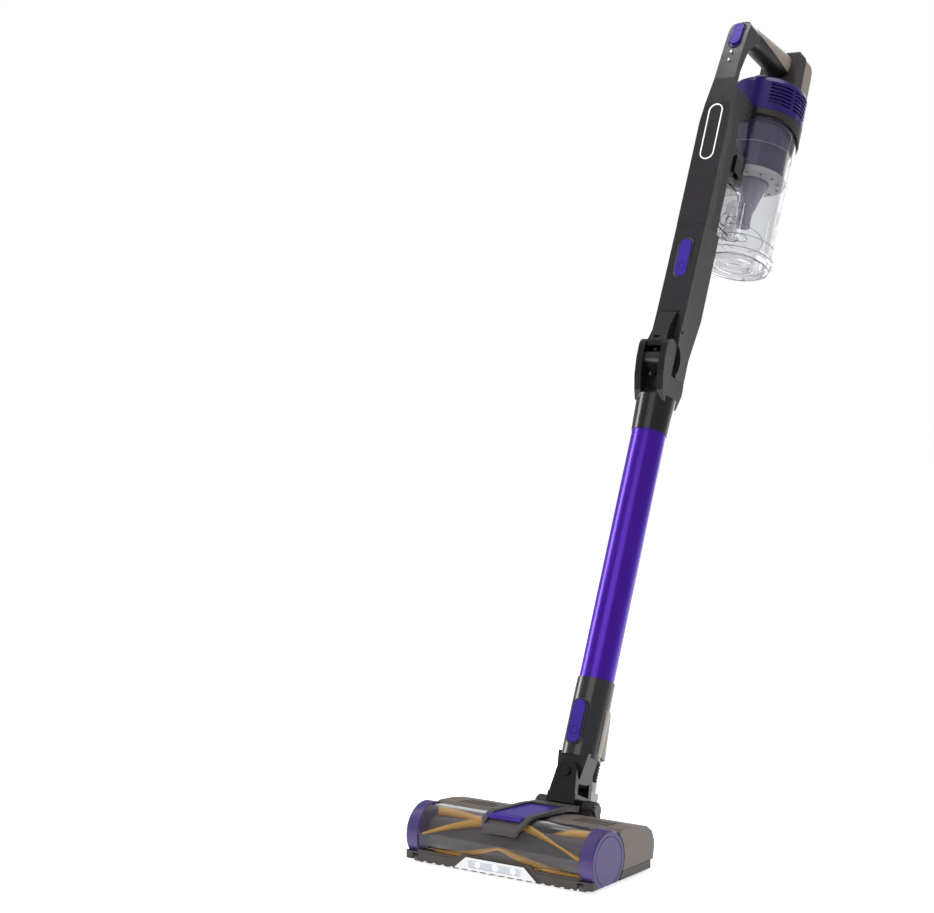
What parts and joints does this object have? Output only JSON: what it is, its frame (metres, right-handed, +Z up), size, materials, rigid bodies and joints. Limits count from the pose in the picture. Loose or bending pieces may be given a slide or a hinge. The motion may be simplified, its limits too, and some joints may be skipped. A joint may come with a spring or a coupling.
{
  "type": "cordless stick vacuum",
  "caption": "Cordless stick vacuum with a powered floor head, folding wand, detachable hand-held motor unit, clear dust cup and removable battery.",
  "frame": {"origin": "centre of the whole object's footprint box on the floor", "axes": "+Z up, -Y towards the front of the floor head, +X to the object's left-right axis, along the brush roll"},
  "size_m": [0.265, 0.7534, 1.0636],
  "materials": {
    "black_plastic": "satin",
    "dark_plastic": "gloss",
    "grey_plastic": "satin",
    "pale_plastic": "satin",
    "violet_plastic": "gloss",
    "violet_tube": "satin",
    "tinted_plastic": "gloss",
    "clear_plastic": "clear",
    "steel": "satin",
    "rubber": "matte",
    "fins": "satin",
    "foam": "matte",
    "white_mark": "satin",
    "lamp": "clear"
  },
  "bodies": {
    "head": {"sole_plate": "black_plastic", "head_housing": "dark_plastic", "brush_window": "clear_plastic", "cap_left": "violet_plastic", "cap_right": "violet_plastic", "drive_belt": "rubber", "brush_motor": "steel", "led_bezel": "steel", "led_lens": "clear_plastic", "led_chips": "lamp", "front_strip": "grey_plastic", "axles": "steel", "centre_frame": "dark_plastic", "duct_cover": "violet_plastic", "hinge_saddle": "dark_plastic", "tilt_pin": "black_plastic", "sole_screws": "steel"},
    "brush_roll": {"brush_core": "black_plastic", "brush_bristles": "fins", "brush_pulley": "grey_plastic"},
    "motor_rotor": {"motor_pulley": "steel"},
    "roller_l": {"roller_left": "grey_plastic"},
    "roller_r": {"roller_right": "grey_plastic"},
    "wheel_l": {"wheel_left": "rubber"},
    "wheel_r": {"wheel_right": "rubber"},
    "neck": {"tilt_yoke": "black_plastic", "roll_pin": "steel", "neck_duct": "pale_plastic"},
    "collar": {"lower_collar": "dark_plastic", "neck_hose": "grey_plastic"},
    "collar_button": {"lower_button": "violet_plastic"},
    "wand": {"wand_tube": "violet_tube", "knee_lower": "black_plastic", "knee_pin": "grey_plastic"},
    "top_arm": {"knee_upper": "dark_plastic", "knee_hose": "grey_plastic"},
    "knee_lever": {"latch_lever": "black_plastic"},
    "arm_button": {"upper_button": "violet_plastic"},
    "hand_unit": {"spine_shell": "dark_plastic", "spine_duct": "black_plastic", "badge": "white_mark", "indicators": "white_mark", "grip": "dark_plastic", "rear_housing": "dark_plastic", "motor_housing": "violet_plastic", "fan_motor": "steel", "dome_cap": "pale_plastic", "collar_band": "grey_plastic", "latch_guide": "black_plastic"},
    "power_key": {"power_button": "violet_plastic"},
    "battery_pack": {"battery": "grey_plastic"},
    "battery_key": {"battery_button": "violet_plastic"},
    "fan": {"impeller": "steel"},
    "cup": {"dust_cup": "clear_plastic", "filter_drum": "tinted_plastic", "filter_ring": "steel", "premotor_filter": "foam", "cyclone_cone": "violet_plastic"},
    "lid": {"cup_lid": "clear_plastic"},
    "latch": {"cup_latch": "black_plastic"}
  },
  "joints": [
    {"name": "head_tilt", "type": "hinge", "parent": "head", "child": "neck", "pos_m": [0, -0.2195, 0.054], "axis": [1, 0, 0], "range_deg": [-50, 22.5]},
    {"name": "neck_roll", "type": "hinge", "parent": "neck", "child": "collar", "pos_m": [0, -0.20419, 0.09095], "axis": [0, 0.9239, -0.3827], "range_deg": [-70, 70], "deforming": ["neck_hose"]},
    {"name": "wand_pull", "type": "slide", "parent": "collar", "child": "wand", "axis": [0, 0.3827, 0.9239], "range_m": [0, 0.05]},
    {"name": "collar_button_press", "type": "slide", "parent": "collar", "child": "collar_button", "axis": [0, 0.9239, -0.3827], "range_m": [0, 0.0024], "stiffness_N_per_m": 900},
    {"name": "knee_fold", "type": "hinge", "parent": "wand", "child": "top_arm", "pos_m": [0, -0.01188, 0.60228], "axis": [1, 0, 0], "range_deg": [0, 150], "deforming": ["knee_hose"]},
    {"name": "knee_lever_press", "type": "hinge", "parent": "top_arm", "child": "knee_lever", "pos_m": [0, 0.01935, 0.63481], "axis": [-1, 0, 0], "range_deg": [0, 4], "stiffness_Nm_per_rad": 2},
    {"name": "arm_button_press", "type": "slide", "parent": "top_arm", "child": "arm_button", "axis": [0, 0.9239, -0.3827], "range_m": [0, 0.0024], "stiffness_N_per_m": 900},
    {"name": "hand_unit_pull", "type": "slide", "parent": "top_arm", "child": "hand_unit", "axis": [0, 0.3827, 0.9239], "range_m": [0, 0.05]},
    {"name": "power_press", "type": "slide", "parent": "hand_unit", "child": "power_key", "axis": [0, 0.8241, -0.5664], "range_m": [0, 0.0015], "stiffness_N_per_m": 900},
    {"name": "battery_lift", "type": "slide", "parent": "hand_unit", "child": "battery_pack", "axis": [0, 0.3827, 0.9239], "range_m": [0, 0.06]},
    {"name": "battery_key_press", "type": "slide", "parent": "battery_pack", "child": "battery_key", "axis": [0, -0.9239, 0.3827], "range_m": [0, 0.0022], "stiffness_N_per_m": 900},
    {"name": "fan_spin", "type": "hinge", "parent": "hand_unit", "child": "fan", "pos_m": [0, 0.28896, 0.9366], "axis": [0, 0.3827, 0.9239], "continuous": true},
    {"name": "cup_pull", "type": "slide", "parent": "hand_unit", "child": "cup", "axis": [0, -0.3827, -0.9239], "range_m": [0, 0.045]},
    {"name": "lid_open", "type": "hinge", "parent": "cup", "child": "lid", "pos_m": [0, 0.25627, 0.71527], "axis": [1, 0, 0], "range_deg": [0, 95]},
    {"name": "cup_latch_slide", "type": "slide", "parent": "hand_unit", "child": "latch", "axis": [0, -0.3827, -0.9239], "range_m": [0, 0.005], "stiffness_N_per_m": 400},
    {"name": "brush_spin", "type": "hinge", "parent": "head", "child": "brush_roll", "pos_m": [0, -0.3385, 0.031], "axis": [1, 0, 0], "continuous": true},
    {"name": "motor_spin", "type": "hinge", "parent": "head", "child": "motor_rotor", "pos_m": [-0.1, -0.2785, 0.036], "axis": [1, 0, 0], "continuous": true},
    {"name": "roller_left_spin", "type": "hinge", "parent": "head", "child": "roller_l", "pos_m": [-0.1168, -0.368, 0.005], "axis": [1, 0, 0], "continuous": true},
    {"name": "roller_right_spin", "type": "hinge", "parent": "head", "child": "roller_r", "pos_m": [0.1168, -0.368, 0.005], "axis": [1, 0, 0], "continuous": true},
    {"name": "wheel_left_spin", "type": "hinge", "parent": "head", "child": "wheel_l", "pos_m": [-0.112, -0.2625, 0.008], "axis": [1, 0, 0], "continuous": true},
    {"name": "wheel_right_spin", "type": "hinge", "parent": "head", "child": "wheel_r", "pos_m": [0.112, -0.2625, 0.008], "axis": [1, 0, 0], "continuous": true}
  ],
  "couplings": [
    {"joint": "motor_spin", "follows": "brush_spin", "ratio": 2.3333}
  ]
}
